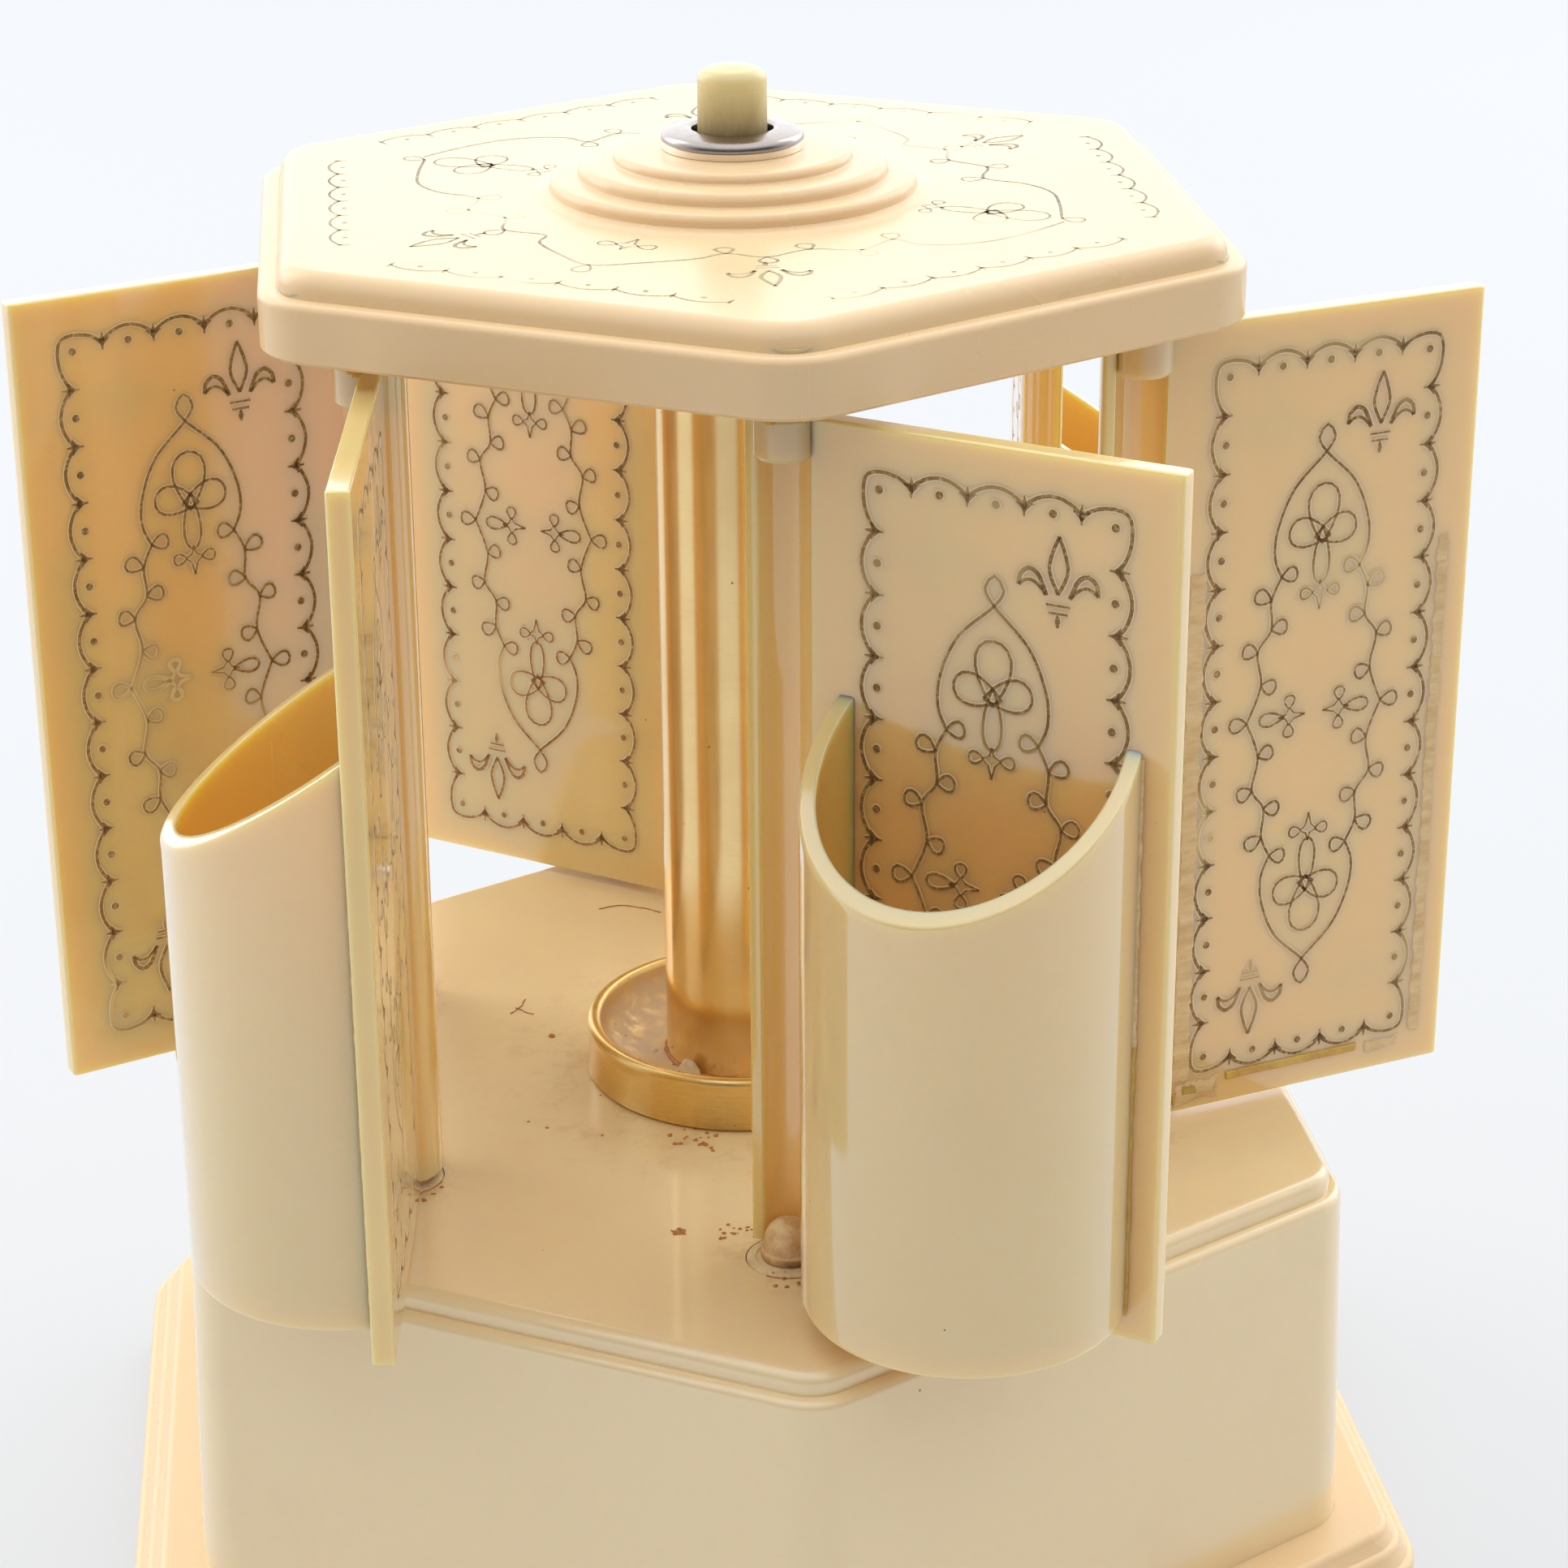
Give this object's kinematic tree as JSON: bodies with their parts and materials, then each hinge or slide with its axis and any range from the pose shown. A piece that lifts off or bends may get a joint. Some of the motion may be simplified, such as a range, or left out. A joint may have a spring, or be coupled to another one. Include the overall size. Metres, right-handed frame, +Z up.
{
  "type": "musical carousel dispenser",
  "caption": "Hexagonal table-top carousel dispenser: a stepped base and lid on a gilt column, with geared swing-out doors that carry slant-cut cups.",
  "frame": {"origin": "floor under the column's axis", "axes": "+Z up along the column; -Y towards corner 1 of the hexagon, where door 1 hinges"},
  "size_m": [0.2189, 0.2282, 0.2392],
  "materials": {
    "ivory_moulding": "polished moulded plastic, yellowed ivory, with a soft waxy glow",
    "ivory_panel": "polished sheet plastic with pressed, brown-inked ornament",
    "ivory_inner": "darker ivory plastic of plates and bushes, dusty",
    "column_gold": "polished gilt tube and dish, worn and dusty at the foot",
    "bezel_chrome": "polished chrome with fine wear",
    "movement_brass": "plain machined brass",
    "steel": "plain steel",
    "foot_rubber": "matt dark rubber"
  },
  "bodies": {
    "stand": {"plinth": "ivory_moulding", "base_body": "ivory_moulding", "bottom_cover": "ivory_inner", "feet": "foot_rubber", "base_screws": "steel", "deck_bushes": "ivory_inner", "column_foot": "column_gold", "column_tube": "column_gold", "column_nut": "movement_brass", "column_top_nut": "movement_brass", "lid": "ivory_moulding", "lid_plate": "ivory_inner", "lid_screws": "steel", "bezel_washer": "movement_brass", "bezel_ring": "bezel_chrome", "gear_plate": "steel", "plate_pillars": "steel", "bedplate": "movement_brass", "cylinder_brackets": "movement_brass", "music_comb": "steel"},
    "drive": {"drive_gear": "movement_brass", "cam_sleeve": "movement_brass"},
    "plunger": {"button": "ivory_moulding", "push_rod": "steel", "cam_pin": "steel"},
    "door_1": {"door_panel_1": "ivory_panel", "top_pivot_1": "ivory_inner", "spindle_1": "ivory_inner", "pinion_1": "movement_brass", "cup_1": "ivory_moulding"},
    "door_2": {"door_panel_2": "ivory_panel", "top_pivot_2": "ivory_inner", "spindle_2": "ivory_inner", "pinion_2": "movement_brass"},
    "door_3": {"door_panel_3": "ivory_panel", "top_pivot_3": "ivory_inner", "spindle_3": "ivory_inner", "pinion_3": "movement_brass", "cup_3": "ivory_moulding"},
    "door_4": {"door_panel_4": "ivory_panel", "top_pivot_4": "ivory_inner", "spindle_4": "ivory_inner", "pinion_4": "movement_brass", "cup_4": "ivory_moulding"},
    "door_5": {"door_panel_5": "ivory_panel", "top_pivot_5": "ivory_inner", "spindle_5": "ivory_inner", "pinion_5": "movement_brass", "cup_5": "ivory_moulding"},
    "door_6": {"door_panel_6": "ivory_panel", "top_pivot_6": "ivory_inner", "spindle_6": "ivory_inner", "pinion_6": "movement_brass", "cup_6": "ivory_moulding"},
    "barrel": {"spring_barrel": "movement_brass"},
    "key": {"winding_key": "steel"},
    "cylinder": {"music_cylinder": "movement_brass"},
    "air_brake": {"governor": "steel"},
    "lever": {"stop_lever": "steel"}
  },
  "joints": [
    {"name": "drive_turn", "type": "hinge", "parent": "stand", "child": "drive", "pos_m": [0, 0, 0.058], "axis": [0, 0, 1], "range_deg": [0, 57.29]},
    {"name": "knob_travel", "type": "slide", "parent": "stand", "child": "plunger", "axis": [0, 0, 1], "range_m": [-0.008, 0]},
    {"name": "door_1_hinge", "type": "hinge", "parent": "stand", "child": "door_1", "pos_m": [0, -0.064, 0.14], "axis": [0, 0, 1], "range_deg": [-172, 0]},
    {"name": "door_2_hinge", "type": "hinge", "parent": "stand", "child": "door_2", "pos_m": [0.05543, -0.032, 0.14], "axis": [0, 0, 1], "range_deg": [-172, 0]},
    {"name": "door_3_hinge", "type": "hinge", "parent": "stand", "child": "door_3", "pos_m": [0.05543, 0.032, 0.14], "axis": [0, 0, 1], "range_deg": [-172, 0]},
    {"name": "door_4_hinge", "type": "hinge", "parent": "stand", "child": "door_4", "pos_m": [0, 0.064, 0.14], "axis": [0, 0, 1], "range_deg": [-172, 0]},
    {"name": "door_5_hinge", "type": "hinge", "parent": "stand", "child": "door_5", "pos_m": [-0.05543, 0.032, 0.14], "axis": [0, 0, 1], "range_deg": [-172, 0]},
    {"name": "door_6_hinge", "type": "hinge", "parent": "stand", "child": "door_6", "pos_m": [-0.05543, -0.032, 0.14], "axis": [0, 0, 1], "range_deg": [-172, 0]},
    {"name": "stop_lever_tilt", "type": "hinge", "parent": "stand", "child": "lever", "pos_m": [0.03, 0, 0.0365], "axis": [0, 1, 0], "range_deg": [-17.5, 0]},
    {"name": "barrel_spin", "type": "hinge", "parent": "stand", "child": "barrel", "pos_m": [-0.03, 0.02, 0.025], "axis": [0, 0, 1], "continuous": true},
    {"name": "cylinder_spin", "type": "hinge", "parent": "stand", "child": "cylinder", "pos_m": [0, 0.024, 0.032], "axis": [1, 0, 0], "continuous": true},
    {"name": "governor_spin", "type": "hinge", "parent": "stand", "child": "air_brake", "pos_m": [0.047, 0, 0.03], "axis": [0, 0, 1], "continuous": true},
    {"name": "key_wind", "type": "hinge", "parent": "stand", "child": "key", "pos_m": [-0.03, 0.02, 0.012], "axis": [0, 0, 1], "continuous": true}
  ],
  "couplings": [
    {"joint": "knob_travel", "follows": "drive_turn", "m_per_rad": -0.008},
    {"joint": "stop_lever_tilt", "follows": "drive_turn", "ratio": -0.3},
    {"joint": "door_1_hinge", "follows": "drive_turn", "ratio": -3},
    {"joint": "door_2_hinge", "follows": "drive_turn", "ratio": -3},
    {"joint": "door_3_hinge", "follows": "drive_turn", "ratio": -3},
    {"joint": "door_4_hinge", "follows": "drive_turn", "ratio": -3},
    {"joint": "door_5_hinge", "follows": "drive_turn", "ratio": -3},
    {"joint": "door_6_hinge", "follows": "drive_turn", "ratio": -3},
    {"joint": "cylinder_spin", "follows": "barrel_spin", "ratio": -2}
  ]
}
